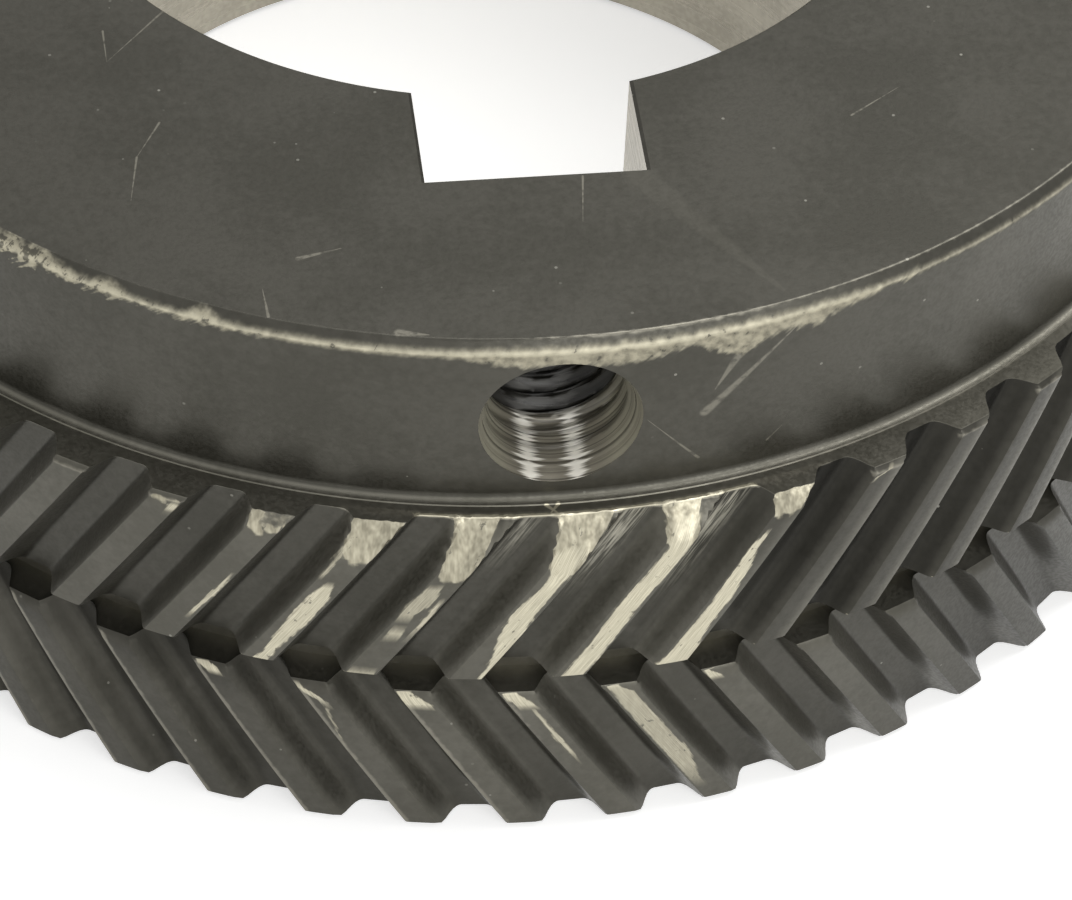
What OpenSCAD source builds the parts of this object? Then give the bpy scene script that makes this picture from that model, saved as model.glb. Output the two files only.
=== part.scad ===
/* [Teeth] */
// Number of teeth in each row
tooth_count = 52; // [48:1:72]
// Pitch of the belt that the teeth carry
belt_pitch = 8; // [7.5:0.1:9]
// Distance from the tooth tips out to the belt's pitch line
pitch_line_offset = 0.69; // [0.4:0.01:1]
// Depth of a groove below the tooth tips
tooth_depth = 2.25; // [1.5:0.05:3]
// Width of a tooth's tip land, measured round the rim
tip_w = 2.5; // [1.8:0.1:3]
// Width of a groove's floor, measured round the rim
floor_w = 2.85; // [2.2:0.05:3.2]
// Radius in the corners of a groove's floor
floor_fillet = 0.6; // [0.2:0.05:0.8]
// Angle between a tooth and the axis, opposite in the two rows
helix_angle = 30; // [10:1:35]
// Turn of the upper row at the slot, from the middle of the keyway
tooth_turn = 0.9; // [0:0.1:6]

/* [Rim] */
// Width of one row of teeth, along the axis
row_w = 15.8; // [10:0.1:30]
// Width of the slot between the two rows
slot_w = 1.8; // [1:0.1:4]
// Depth of the slot below the floors of the grooves
slot_extra_depth = 0.75; // [0.2:0.05:1.5]
// Bevel on the outer edges of the rim
rim_bevel = 0.4; // [0.1:0.05:1]

/* [Hub] */
// Width of the ledge between the hub and the floors of the grooves
ledge_w = 1.75; // [1:0.05:8]
// Height of the hub above the rim
hub_h = 15.9; // [14:0.1:30]
// Bevel on the hub's outer edge
hub_bevel = 0.8; // [0.3:0.1:2]
// Radius in the corner between hub and rim
hub_fillet = 0.8; // [0.3:0.1:0.9]

/* [Bore] */
// Diameter of the bore
bore_d = 70; // [50:0.5:76]
// Width of the keyway
keyway_w = 16.5; // [10:0.1:20]
// Depth of the keyway at its middle, from the bore's wall to its floor
keyway_depth = 8.8; // [5:0.1:11]

/* [Set screw] */
// Diameter of the tapped hole at the crests of its thread
screw_hole_d = 10.2; // [6:0.1:11]
// Diameter of the bevelled mouth of the tapped hole
screw_mouth_d = 12.4; // [11.5:0.1:13]
// Distance from the hub's end face to the middle of the tapped hole
screw_inset = 8.1; // [7:0.1:9]

/* [Hidden] */
$fn = 96;

tip_r = tooth_count * belt_pitch / (2 * PI) - pitch_line_offset;
root_r = tip_r - tooth_depth;
slot_r = root_r - slot_extra_depth;
hub_r = root_r - ledge_w;
bore_r = bore_d / 2;
keyway_floor = bore_r + keyway_depth;

rim_w = 2 * row_w + slot_w;
total_h = rim_w + hub_h;
screw_z = total_h - screw_inset;
mouth_bevel = (screw_mouth_d - screw_hole_d) / 2;

// angle of one pitch, and half the angles of a tip land and of a groove's floor
tooth_step = 360 / tooth_count;
half_tip = tip_w / tip_r * 90 / PI;
half_floor = floor_w / root_r * 90 / PI;
// straight steps along a groove's helix
helix_slices = 3;
// straight steps in the round corner of a groove's floor
corner_steps = 2;

// how far a cut reaches past the face that it opens
past = 1;

// outline of one groove, across the axis, with its middle on -Y
module groove_outline() {
    half_mouth = tooth_step / 2 - half_tip;
    floor_x = root_r * sin(half_floor);
    floor_y = root_r * cos(half_floor);
    lean = atan((tip_r * sin(half_mouth) - floor_x) / (tip_r * cos(half_mouth) - floor_y));
    mouth_y = tip_r + past;
    mouth_x = floor_x + (mouth_y - floor_y) * tan(lean);
    // middle of the round corner between the floor and a flank
    corner_x = floor_x + floor_fillet * (tan(lean) - 1 / cos(lean));
    corner_y = floor_y + floor_fillet;
    side = [
        [mouth_x, -mouth_y],
        for (i = [0 : corner_steps])
            let (a = lean + i / corner_steps * (90 - lean))
                [corner_x + floor_fillet * cos(a), -corner_y + floor_fillet * sin(a)]
    ];
    polygon([each side, for (i = [len(side) - 1 : -1 : 0]) [-side[i].x, side[i].y]]);
}

// all the grooves of one row, from z = 0 up, turning towards +X at the front as they climb
module groove_row() {
    cut_h = row_w + past;
    cut_turn = cut_h * tan(helix_angle) / tip_r * 180 / PI;
    linear_extrude(height = cut_h, twist = -cut_turn, slices = helix_slices, segments = 1)
        for (i = [0 : tooth_count - 1])
            rotate((i + 0.5) * tooth_step) groove_outline();
}

// turned blank: rim with a slot at its middle, and a smaller hub above it
module blank() {
    rotate_extrude()
        difference() {
            union() {
                polygon([
                    [0, 0], [tip_r - rim_bevel, 0], [tip_r, rim_bevel], [tip_r, rim_w - rim_bevel],
                    [tip_r - rim_bevel, rim_w], [0, rim_w]
                ]);
                polygon([
                    [0, rim_w - past], [hub_r, rim_w - past], [hub_r, total_h - hub_bevel],
                    [hub_r - hub_bevel, total_h], [0, total_h]
                ]);
                // corner between hub and rim
                difference() {
                    translate([hub_r - past, rim_w - past]) square(hub_fillet + past);
                    translate([hub_r + hub_fillet, rim_w + hub_fillet]) circle(hub_fillet);
                }
            }
            translate([slot_r, row_w]) square([tooth_depth + slot_extra_depth + past, slot_w]);
        }
}

// bore with its keyway at -Y
module bore_cut() {
    translate([0, 0, -past]) cylinder(h = total_h + 2 * past, r = bore_r);
    translate([-keyway_w / 2, -keyway_floor, -past]) cube([keyway_w, keyway_floor, total_h + 2 * past]);
}

// tapped hole through the hub's wall, over the keyway, with a bevelled mouth
module screw_cut() {
    translate([0, 0, screw_z]) rotate([90, 0, 0]) {
        cylinder(h = hub_r + past, d = screw_hole_d);
        translate([0, 0, hub_r - mouth_bevel])
            cylinder(h = mouth_bevel + past, r1 = screw_hole_d / 2, r2 = screw_mouth_d / 2 + past);
    }
}

// the whole sprocket, cut from one piece: the lower teeth stand half a pitch off the upper ones
module sprocket() {
    color([0.25, 0.245, 0.225])
        difference() {
            blank();
            translate([0, 0, row_w + slot_w]) rotate(tooth_turn) groove_row();
            translate([0, 0, row_w]) mirror([0, 0, 1]) rotate(tooth_turn + tooth_step / 2) groove_row();
            bore_cut();
            screw_cut();
        }
}

sprocket();
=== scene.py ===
import math
import bpy
import numpy as np
from mathutils import Matrix, Vector


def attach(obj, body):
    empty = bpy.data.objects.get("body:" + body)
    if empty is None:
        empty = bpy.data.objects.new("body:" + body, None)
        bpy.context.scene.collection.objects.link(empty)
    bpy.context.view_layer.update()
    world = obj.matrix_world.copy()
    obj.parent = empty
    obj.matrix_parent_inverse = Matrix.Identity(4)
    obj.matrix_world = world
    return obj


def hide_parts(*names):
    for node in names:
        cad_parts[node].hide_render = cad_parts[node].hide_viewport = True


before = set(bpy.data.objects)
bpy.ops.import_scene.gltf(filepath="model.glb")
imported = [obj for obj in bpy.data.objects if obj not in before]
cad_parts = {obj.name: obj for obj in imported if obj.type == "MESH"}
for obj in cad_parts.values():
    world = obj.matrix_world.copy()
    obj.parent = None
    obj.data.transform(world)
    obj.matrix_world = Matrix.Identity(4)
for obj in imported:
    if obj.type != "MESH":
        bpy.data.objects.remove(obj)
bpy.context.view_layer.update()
print("frame loaded")

# sizes of the turned and cut body, in millimetres and degrees
sizes = {
    "teeth": 52, "beltPitch": 8.0, "pitchLineOffset": 0.69,
    "toothDepth": 2.25, "tipWidth": 2.5, "floorWidth": 2.85, "floorBlend": 0.9, "tipBlend": 0.28,
    "helix": 30.0, "turn": 0.9, "rowWidth": 15.8, "slotWidth": 1.8, "slotExtra": 0.75,
    "rimBevel": 0.4, "slotEdge": 0.12, "lowerEdge": 0.35, "lowerEdgeLength": 0.9,
    "ledge": 1.75, "hubHeight": 15.9, "hubBevel": 0.8, "hubFillet": 0.62, "footStep": 0.1,
    "boreRadius": 35.0, "keyHalf": 8.25, "keyDepth": 8.8, "edgeBreak": 0.25, "dentDepth": 0.2,
    "hubColumnsPerTooth": 12, "sharpAngle": 38,
}
# tapped hole through the hub's wall, over the keyway; the thread is worn between two depths from the wall
tappedHole = {
    "inset": 8.1, "crestRadius": 5.15, "rootRadius": 5.98, "pitch": 1.95, "flankSlope": 1.6,
    "rootFlat": 0.3, "wornFrom": 7.0, "wornTo": 3.5, "wornFill": 0.65, "mouthRadius": 6.12,
    "mouthSlope": 0.35, "mouthRise": 1.5, "from": 41.5, "to": 63.5, "aroundSteps": 64, "alongSteps": 117,
}
# worn ends of the upper teeth: tooth, depth at the end face, length down the tip land,
# how bare it is inside its rim, and how far right it is bare at the end face
wornEnds = [
    (-5, 0.3, 0.7, 0.5, 3.0), (-4, 0.8, 1.9, 0.1, 3.0), (-3, 1.4, 3.8, 1.0, 1.6), (-2, 2.2, 5.2, 1.0, 0.8),
    (-1, 2.25, 5.0, 1.0, 1.4), (0, 2.2, 3.0, 1.0, 0.3), (1, 0.9, 1.8, 0.4, 2.0),
]
# bare strips on the tip lands: row, tooth, layer, how bare,
# then at each height from the slot the strip's two edges across the tooth
tipStrips = [
    ("upper", -5, 0, 0.9, [(14.4, 0.6, 1.2), (15.0, 0.5, 1.25)]),
    ("upper", -4, 0, 0.95, [(3.8, 0.6, 0.9), (6.2, 0.65, 1.1), (8.7, 0.75, 1.0)]),
    ("upper", -3, 0, 1.0, [(-0.4, -0.6, 0.75), (0.8, -0.1, 0.8), (2, -0.25, 0.7), (4.5, -0.55, 0.9),
                           (6.5, -0.7, 1.05), (8.8, -0.7, 0.7), (9.6, -0.3, 0.3)]),
    ("upper", -3, 1, 0.7, [(10.8, -1.2, -0.9), (12.5, -1.35, -1.05), (14, -1.4, -1.1)]),
    ("upper", -2, 0, 0.75, [(-0.2, -1.2, 1.2), (0.3, -1.0, 0.9)]),
    ("upper", -2, 0, 0.8, [(4.8, -0.8, 0.4), (5.6, -0.95, 0.0)]),
    ("upper", -2, 0, 0.7, [(7.2, -1.2, -0.2), (8.6, -1.25, 0.5), (10.2, -1.05, 0.0)]),
    ("upper", -2, 1, 0.9, [(5.2, 0.8, 1.2), (7.1, 0.7, 1.2), (8.7, 0.65, 1.05)]),
    ("upper", -1, 0, 1.0, [(-0.2, 1.0, 1.4), (2.3, 0.65, 1.3), (3.4, 0.2, 1.35), (4.5, -0.3, 1.4),
                           (6.8, -0.9, 0.9), (9, -0.85, 0.85), (10.5, -0.4, 0.8), (12, -0.8, 1.1),
                           (13.2, -1.25, 1.3)]),
    ("upper", 0, 0, 1.0, [(-0.2, -0.8, 1.1), (0.4, -0.6, 1.0), (2, -0.65, 1.1), (4, -0.65, 1.05),
                          (6, -0.9, 0.9), (8, -1.0, 0.8), (10, -0.8, 1.05), (13.4, -0.75, 1.2),
                          (14.5, -1.0, 1.2)]),
    ("upper", 1, 0, 1.0, [(-0.2, -1.5, 1.4), (0.4, -1.2, 1.3), (1.5, -0.9, 1.15), (3, -0.95, 0.8),
                          (4.4, -0.85, 0.65), (6.3, -0.8, 0.75), (9.3, -1.1, 0.2), (11.6, -1.2, -0.4),
                          (12.7, -0.8, -0.5)]),
    ("upper", 2, 0, 0.7, [(14.9, -1.25, -0.9), (15.4, -0.2, 0.2)]),
    ("lower", -4, 0, 0.9, [(-0.1, -1.2, -0.3), (0.4, -0.9, 0.6), (0.8, -0.5, 0.7)]),
    ("lower", -3, 0, 0.95, [(0.5, -1.3, -0.8), (1.2, -0.9, -0.1), (1.8, -0.2, 0.4)]),
    ("lower", -3, 1, 0.6, [(2.2, -0.1, 0.1), (4.5, -0.65, -0.45), (6.8, -1.15, -1.0)]),
    ("lower", -2, 0, 1.0, [(-0.3, -1.3, -0.8), (0.4, -1.3, 0.3), (1.2, -1.2, 0.8)]),
    ("lower", -1, 0, 1.0, [(-0.3, -1.2, -0.4), (0.5, -1.0, 0.4), (1.2, -0.8, 0.8)]),
    ("lower", -1, 1, 0.9, [(2, 0.25, 0.5), (4.6, 0.1, 0.5), (5.8, 0.0, 0.6), (8, 0.2, 0.4)]),
    ("lower", 0, 0, 0.75, [(-0.3, -1.2, -0.7), (0.7, -0.8, 0.7), (2.5, -0.95, 0.7), (6, -1.0, 0.7),
                           (9.2, -0.95, 0.9), (12.3, -1.05, -0.1)]),
    ("lower", 1, 0, 0.9, [(0.1, -1.3, -0.9), (0.8, -1.35, -0.1)]),
]
# rubbed grooves of the upper row: two sides in pitches from the keyway's tooth,
# the height from the slot where the rubbing starts, how bright
groovePolish = [(-0.66, -0.42, 6.0, 1.9), (0.36, 0.6, 4.0, 1.9), (-1.62, -1.45, 9.0, 1.0)]
# bare band along the hub's bevel: angle from the keyway, reach up and down from the bevel's foot,
# raggedness
bevelWear = [
    (-60, 0.1, 0.1, 0.2), (-42, 0.75, 0.35, 1.5), (-37, 0.75, 0.4, 1.5), (-35.5, 0.5, 0.4, 1.2),
    (-33.5, 0.15, 0.4, 0.9), (-31.3, 0.6, 0.4, 0.9), (-30, 0.1, 0.3, 0.6), (-27, 0.1, 0.3, 0.6),
    (-25.6, 0.15, 0.45, 0.6), (-24.6, 0.7, 0.3, 0.8), (-23.2, 0.15, 0.45, 0.6), (-21, 0.1, 0.3, 0.4),
    (-18, 0.15, 0.3, 0.15), (-12, 0.15, 0.35, 0.1), (-7, 0.15, 0.4, 0.15), (-4, 0.2, 1.2, 0.35),
    (0, 0.2, 1.4, 0.4), (4, 0.2, 1.7, 0.4), (6.5, 0.2, 1.3, 0.4), (8.7, 0.15, 0.5, 0.4),
    (10, 0.2, 1.5, 0.5), (12.3, 0.2, 2.7, 0.6), (13.9, 0.2, 1.8, 0.5), (15.5, 0.15, 1.2, 0.4),
    (17, 0.15, 1.3, 0.4), (17.9, 0.15, 2.0, 0.4), (18.6, 0.15, 1.0, 0.4), (22, 0.1, 0.5, 0.3),
    (23.5, 0.05, 0.05, 0.3), (25.2, 0.05, 0.35, 0.5), (26.5, 0.03, 0.03, 0.2), (40, 0.03, 0.03, 0.2),
    (60, 0.1, 0.1, 0.2),
]
# painted light and shade on the teeth: a level for tips, flanks and floors, then what is added right, far
# right and left of the keyway, where light and shade fall differently round the rim
paintedToothLight = {
    "upperTip": (1.0, -0.43, 0, 0), "lowerTip": (1.1, -0.1, -0.42, -0.35),
    "upperFlank": (1.25, -0.88, 0, 0), "lowerFlank": (1.2, 0.2, -0.6, -0.45),
    "upperFloor": (0.62, -0.4, 0, 0), "lowerFloor": (0.75, -0.08, -0.12, -0.25),
}
# painted light and shade elsewhere, and what is added or taken away at some edges: the end face, the wall
# lighter to the right, the ledge and slot lightened in their shade, a painted highlight on the upper tips'
# right edges, painted shade on the lower tips by the slot
paintedLightLevels = {"face": 0.65, "wall": 0.7, "wallRightLight": 0.14, "ledge": 1.6, "slotTopLight": 1.6, "slotFloorLight": 2.0,
               "upperTipHighlight": 0.6, "lowerTipSlotShade": 0.3}

tau = 2 * math.pi
pitchCount = sizes["teeth"]
toothStep = tau / pitchCount
tipRadius = pitchCount * sizes["beltPitch"] / tau - sizes["pitchLineOffset"]
rootRadius = tipRadius - sizes["toothDepth"]
slotRadius = rootRadius - sizes["slotExtra"]
hubRadius = rootRadius - sizes["ledge"]
keyFloor = sizes["boreRadius"] + sizes["keyDepth"]
rowWidth = sizes["rowWidth"]
upperStart = rowWidth + sizes["slotWidth"]
rimHeight = upperStart + rowWidth
totalHeight = rimHeight + sizes["hubHeight"]
bevelFoot = totalHeight - sizes["hubBevel"]
screwHeight = totalHeight - tappedHole["inset"]
twistPerMm = math.tan(math.radians(sizes["helix"])) / tipRadius
toothTurn = math.radians(sizes["turn"])
beyondTips = tipRadius + 3
mmToMetre = 0.001


def smoothMin(a, b, width):
    # the smaller of two values, with a parabola of that width where they cross
    h = np.clip(1 - np.abs(a - b) / width, 0, 1)
    return np.minimum(a, b) - h * h * width / 4


def smoothMax(a, b, width):
    # the larger of two values, blended in the same way
    return -smoothMin(-a, -b, width)


def smoothStep(low, high, value):
    # rises from 0 to 1 between two values; falls where the first one is the larger
    t = np.clip((value - low) / (high - low), 0, 1)
    return t * t * (3 - 2 * t)


def nearLine(gap, width):
    # 1 on a line, falling straight to 0 at a distance
    return np.clip(1 - np.abs(gap) / width, 0, 1)


def ripple(angle, z, seed, turns, rise):
    # sum of cosine waves round the axis and up it, closed after a full turn, about -1 to 1
    draw = np.random.default_rng(seed)
    total = np.zeros(np.broadcast(angle, z).shape)
    for _ in range(12):
        around, up = draw.integers(turns // 3, turns), draw.uniform(-rise, rise)
        total += np.cos(around * angle + up * z + draw.uniform(0, tau))
    return total / 4


def toothRadius(phase):
    # radius of the toothed section: the floor's chord, a straight flank and the tip's circle, blended;
    # phase counts pitches, and a tooth's middle is at every whole number
    away = np.abs(phase - np.round(phase))
    angle = (0.5 - away) * toothStep
    halfTip = sizes["tipWidth"] / tipRadius / 2
    halfFloor = sizes["floorWidth"] / rootRadius / 2
    mouth = toothStep / 2 - halfTip
    floorX, floorY = rootRadius * math.sin(halfFloor), rootRadius * math.cos(halfFloor)
    slope = (tipRadius * math.sin(mouth) - floorX) / (tipRadius * math.cos(mouth) - floorY)
    lift = floorY * slope - floorX
    flank = lift / np.maximum(np.cos(angle) * slope - np.sin(angle), 1e-3)
    flank = np.where(angle > mouth * 1.6, beyondTips, np.clip(flank, 0, beyondTips))
    floor = floorY / np.cos(angle)
    groove = smoothMax(floor, flank, sizes["floorBlend"])
    return smoothMin(groove, tipRadius, sizes["tipBlend"])


def wornTip(phase, along, angle):
    # radius left on a worn tooth end: falls from the tip to the given depth at the end face, as a scoop
    limit = np.full(np.broadcast(phase, along).shape, beyondTips)
    tooth = np.round(phase)
    across = (phase - tooth) * toothStep * tipRadius
    tooth = np.where(tooth > pitchCount // 2, tooth - pitchCount, tooth)
    for number, depth, length, *_ in wornEnds:
        reach = length * (1 - 0.12 * (across - 0.3) ** 2)  # longest a little right of the middle
        reach = reach + 0.35 * ripple(angle, along, number + 40, 300, 1.0)
        fall = np.clip(1 - (rowWidth - along) / np.maximum(reach, 0.2), 0, 1)
        scoop = tipRadius - depth * fall ** 1.2
        scoop = scoop + 0.05 * ripple(angle, along, number + 60, 700, 3.0) * (fall > 0)
        limit = np.where((tooth == number) & (fall > 0), scoop, limit)
    return limit


def polarPoints(radius, angle, z):
    # points from radius, angle and height; the angle runs from -Y towards +X
    radius, angle, z = np.broadcast_arrays(radius, angle, z)
    return np.stack([radius * np.sin(angle), -radius * np.cos(angle), z], axis=-1)


def rimRows():
    # the toothed rim: section radius by phase, carried up two opposite helices from the slot
    quarter = np.array([0, .07, .125, .15, .175, .21, .25])  # closest together at a flank
    half = np.concatenate([quarter, .5 - quarter[-2:0:-1]])
    column = (np.arange(pitchCount)[:, None] + np.concatenate([half, half + .5])).ravel()
    bevel, slotEdge = sizes["rimBevel"], sizes["slotEdge"]
    endRows = [rowWidth - bevel, rowWidth - bevel / 2, rowWidth - 0.06, rowWidth]

    def row(along, startCap):
        # the edges at the slot and at the end face are taken down by the caps
        endCap = np.clip(along - rowWidth + bevel, 0, None)
        angle = toothTurn + column * toothStep + along[:, None] * twistPerMm
        return angle, tipRadius - np.maximum(startCap, endCap)[:, None]

    # distances from the slot, closer together where the teeth are worn
    along = np.array([0, slotEdge, 0.45, 1, 1.8, 2.8, 3.9, 5, 6.1, 7.2, 8.3, 9.3, 10.1, 10.8, 11.4, 12,
                      12.6, 13.1, 13.6, 14.1, 14.55, 15, *endRows])
    angle, limit = row(along, np.clip(slotEdge - along, 0, None))
    upper = np.minimum(toothRadius(column), limit)
    upper = np.maximum(np.minimum(upper, wornTip(column, along[:, None], angle)), rootRadius - 0.02)
    lowAlong = np.array([0, slotEdge, 0.35, 0.7, 1.2, 1.9, 2.8, 4, 5.4, 7, 8.8, 10.6, 12.4, 14, *endRows])
    startCap = np.clip(1 - lowAlong / sizes["lowerEdgeLength"], 0, 1) ** 2
    lowAngle, limit = row(lowAlong, sizes["lowerEdge"] * startCap)
    lower = np.minimum(toothRadius(column + .5), limit)
    ring = rootRadius - 0.25  # inner end of the rim's two end faces
    return np.concatenate([
        polarPoints(ring, angle[-1], rimHeight)[None],
        polarPoints(upper, angle, (upperStart + along)[:, None])[::-1],
        polarPoints(slotRadius, angle[0], upperStart)[None],
        polarPoints(slotRadius, angle[0], rowWidth)[None],
        polarPoints(lower, lowAngle, (rowWidth - lowAlong)[:, None]),
        polarPoints(ring, lowAngle[-1], 0.0)[None],
    ])


def boreOutline(angle, grow):
    # bore circle with its keyway as one line round the axis, moved outwards by grow;
    # the columns nearest the keyway's four corners are slid onto them
    def corners(g):
        half, floor, bore = sizes["keyHalf"] + g, keyFloor + g, sizes["boreRadius"] + g
        return math.atan2(half, floor), math.asin(half / bore), half, floor, bore

    wrapped = (angle + math.pi) % tau - math.pi
    floorAngle, mouthAngle = corners(0)[:2]
    order = np.argsort(wrapped)
    sortedAngle = wrapped[order].copy()
    fixed = np.array([-mouthAngle, -floorAngle, floorAngle, mouthAngle])
    nearest = np.abs(sortedAngle[None, :] - fixed[:, None]).argmin(axis=1)
    sortedAngle[nearest] = fixed
    newFloor, newMouth, half, floor, bore = corners(grow)
    knots = np.array([-math.pi, -mouthAngle, -floorAngle, floorAngle, mouthAngle, math.pi])
    moved = np.array([-math.pi, -newMouth, -newFloor, newFloor, newMouth, math.pi])
    slid = np.interp(sortedAngle, knots, moved)
    spot = np.arange(len(slid))
    onFloor = (spot >= nearest[1]) & (spot <= nearest[2])
    onWall = ((spot > nearest[0]) & (spot < nearest[1])) | ((spot > nearest[2]) & (spot < nearest[3]))
    radius = np.where(onFloor, floor / np.cos(slid), bore)
    radius = np.where(onWall, half / np.maximum(np.abs(np.sin(slid)), 1e-3), radius)
    outRadius, outAngle = np.empty_like(radius), np.empty_like(slid)
    outRadius[order], outAngle[order] = radius, slid
    return outRadius, outAngle


def bevelReach(angle):
    # how far the bare band reaches up the bevel and down the wall at an angle, and how ragged it is
    table = np.array(bevelWear, float)
    degrees = np.degrees((angle + math.pi) % tau - math.pi)
    return [np.interp(degrees, table[:, 0], table[:, i]) for i in (1, 2, 3)]


def hubRows():
    # profile from the bottom face up the bore, over the end face and down the hub to the ledge,
    # turned round the axis
    count = sizes["hubColumnsPerTooth"] * pitchCount
    angle = toothTurn + rowWidth * twistPerMm + np.arange(count) * tau / count
    edge, bevel, fillet = (sizes[name] for name in ("edgeBreak", "hubBevel", "hubFillet"))
    wideBore = polarPoints(*boreOutline(angle, edge), 0.0)
    bore = polarPoints(*boreOutline(angle, 0.0), 0.0)
    lift = np.array([0, 0, 1.0])
    outerBottom = polarPoints(rootRadius - 0.7, angle, 0.0)
    share = np.array([0, .5, .985])[:, None, None]
    bottomRows = outerBottom + (wideBore - outerBottom) * share
    boreHeights = np.array([edge, totalHeight / 3, totalHeight * 2 / 3, totalHeight - edge])
    boreWall = bore[None] + lift * boreHeights[:, None, None]
    topEdge = polarPoints(hubRadius - bevel - 0.12, angle, totalHeight)
    share = np.array([0, .015, .33, .67, .985])[:, None, None]
    topRows = wideBore + lift * totalHeight + (topEdge - wideBore - lift * totalHeight) * share
    # the bevel with its two round edges, as shares of its size
    down = np.array([0, .06, .25, .5, .75, .94, 1.1])
    inset = np.array([1.0, .88, .71, .47, .24, .06, 0])
    # the battered stretch of the bevel is pressed in here and there
    up, low, ragged = bevelReach(angle)
    pressed = (0.5 + 0.5 * ripple(angle, down[:, None] * 3, 11, 500, 2.0)).clip(0, 1)
    dent = np.clip(up + low - 0.35, 0, 1) * np.clip(ragged, 0, 1) * pressed
    dent = sizes["dentDepth"] * dent * np.array([0, .5, .9, 1, 1, .9, .6])[:, None]
    bevelRows = polarPoints((hubRadius - bevel * inset)[:, None] - dent, angle,
                            (totalHeight - bevel * down)[:, None] - 0.5 * dent)
    wallHeights = totalHeight - np.array([1.2, 1.5, 1.9, 2.4, 3.0, 3.8, 5.0, 7.0, 9.5, 12.0, 14.2])
    wallRows = polarPoints(hubRadius, angle, wallHeights[:, None])
    arc = np.linspace(0, math.pi / 2, 6)
    step = sizes["footStep"]
    filletRows = polarPoints((hubRadius + fillet * (1 - np.cos(arc)))[:, None], angle,
                             (rimHeight + step + fillet * (1 - np.sin(arc)))[:, None])
    footRows = polarPoints((hubRadius + fillet + np.array([0.1, 0.16]))[:, None], angle,
                           (rimHeight + step * np.array([0.9, 0]))[:, None])
    ledgeRow = polarPoints(rootRadius - 0.6, angle, rimHeight)
    return np.concatenate([bottomRows, wideBore[None], boreWall, topRows, topEdge[None], bevelRows,
                           wallRows, filletRows, footRows, ledgeRow[None]])


def gridQuads(rows, columns, start):
    # quads between following rows, closed round the columns
    index = start + np.arange(rows * columns).reshape(rows, columns)
    side = np.roll(index, -1, axis=1)
    return np.stack([index[:-1], index[1:], side[1:], side[:-1]], axis=-1).reshape(-1, 4)


def joinRings(coarse, fine, fineFirst):
    # triangles between a ring and one with twice its columns
    nextCoarse = np.roll(coarse, -1)
    even, odd = fine[0::2], fine[1::2]
    nextEven = np.roll(even, -1)
    tris = np.concatenate([np.stack([coarse, even, odd], -1), np.stack([coarse, odd, nextCoarse], -1),
                           np.stack([nextCoarse, odd, nextEven], -1)])
    return tris[:, ::-1] if fineFirst else tris


def addObject(name, data):
    piece = bpy.data.objects.new(name, data)
    bpy.context.scene.collection.objects.link(piece)
    return piece


def readRows(items, name):
    # three numbers for each point or face of a mesh
    flat = np.empty(len(items) * 3, np.float32)
    items.foreach_get(name, flat)
    return flat.reshape(-1, 3).astype(float)


def meshFrom(name, points, faceLists):
    # points in millimetres; each face list is an array with three or four corners a row
    mesh = bpy.data.meshes.new(name)
    corners = np.concatenate([f.ravel() for f in faceLists]).astype(np.int32)
    totals = np.concatenate([np.full(len(f), f.shape[1]) for f in faceLists]).astype(np.int32)
    starts = np.concatenate([[0], np.cumsum(totals)[:-1]]).astype(np.int32)
    mesh.vertices.add(len(points))
    mesh.vertices.foreach_set("co", (points * mmToMetre).astype(np.float32).ravel())
    mesh.loops.add(len(corners))
    mesh.loops.foreach_set("vertex_index", corners)
    mesh.polygons.add(len(totals))
    mesh.polygons.foreach_set("loop_start", starts)
    mesh.update(calc_edges=True)
    mesh.validate()
    return addObject(name, mesh)


def makeBody():
    # the hub's rows and the rim's rows as two closed grids, joined at the ledge and on the bottom face
    hub, rim = hubRows(), rimRows()
    hubCount, rimCount = hub.shape[0] * hub.shape[1], rim.shape[0] * rim.shape[1]
    hubIndex = np.arange(hubCount).reshape(hub.shape[:2])
    rimIndex = hubCount + np.arange(rimCount).reshape(rim.shape[:2])
    quads = np.concatenate([gridQuads(*hub.shape[:2], 0), gridQuads(*rim.shape[:2], hubCount)])
    tris = np.concatenate([joinRings(hubIndex[-1], rimIndex[0], False),
                           joinRings(hubIndex[0], rimIndex[-1], True)])
    points = np.concatenate([hub.reshape(-1, 3), rim.reshape(-1, 3)])
    return meshFrom("sprocketBody", points, [quads, tris])


def threadCutter():
    # radius of the thread by turn and depth, opened by a cone at the mouth, as a closed plug
    hole, count = tappedHole, tappedHole["aroundSteps"]
    around = np.arange(count) * tau / count
    along = np.linspace(hole["from"], hole["to"], hole["alongSteps"])
    place = (along[:, None] / hole["pitch"] - around / tau) % 1
    ridge = np.clip(np.abs(place - 0.5) * 2 * hole["flankSlope"] - hole["rootFlat"], 0, 1)
    worn = smoothStep(hubRadius - hole["wornFrom"], hubRadius - hole["wornTo"], along)[:, None]
    ridge = ridge + (1 - ridge) * hole["wornFill"] * worn
    radius = hole["rootRadius"] + (hole["crestRadius"] - hole["rootRadius"]) * ridge
    cone = hole["mouthRadius"] + (along[:, None] - hubRadius) * hole["mouthSlope"]
    radius = np.maximum(radius, np.minimum(cone, hole["mouthRadius"] + hole["mouthRise"]))
    points = np.stack([radius * np.sin(around), np.broadcast_to(-along[:, None], radius.shape),
                       screwHeight + radius * np.cos(around)], axis=-1)
    flat = points.reshape(-1, 3)
    ends = np.array([[0, -along[0], screwHeight], [0, -along[-1], screwHeight]])
    total = len(flat)
    ring = np.arange(count)
    ringEnd = total - count + ring
    caps = np.concatenate([np.stack([np.full(count, total), ring, np.roll(ring, -1)], -1),
                           np.stack([np.full(count, total + 1), np.roll(ringEnd, -1), ringEnd], -1)])
    return meshFrom("threadCutter", np.concatenate([flat, ends]), [gridQuads(*points.shape[:2], 0), caps])


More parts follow.
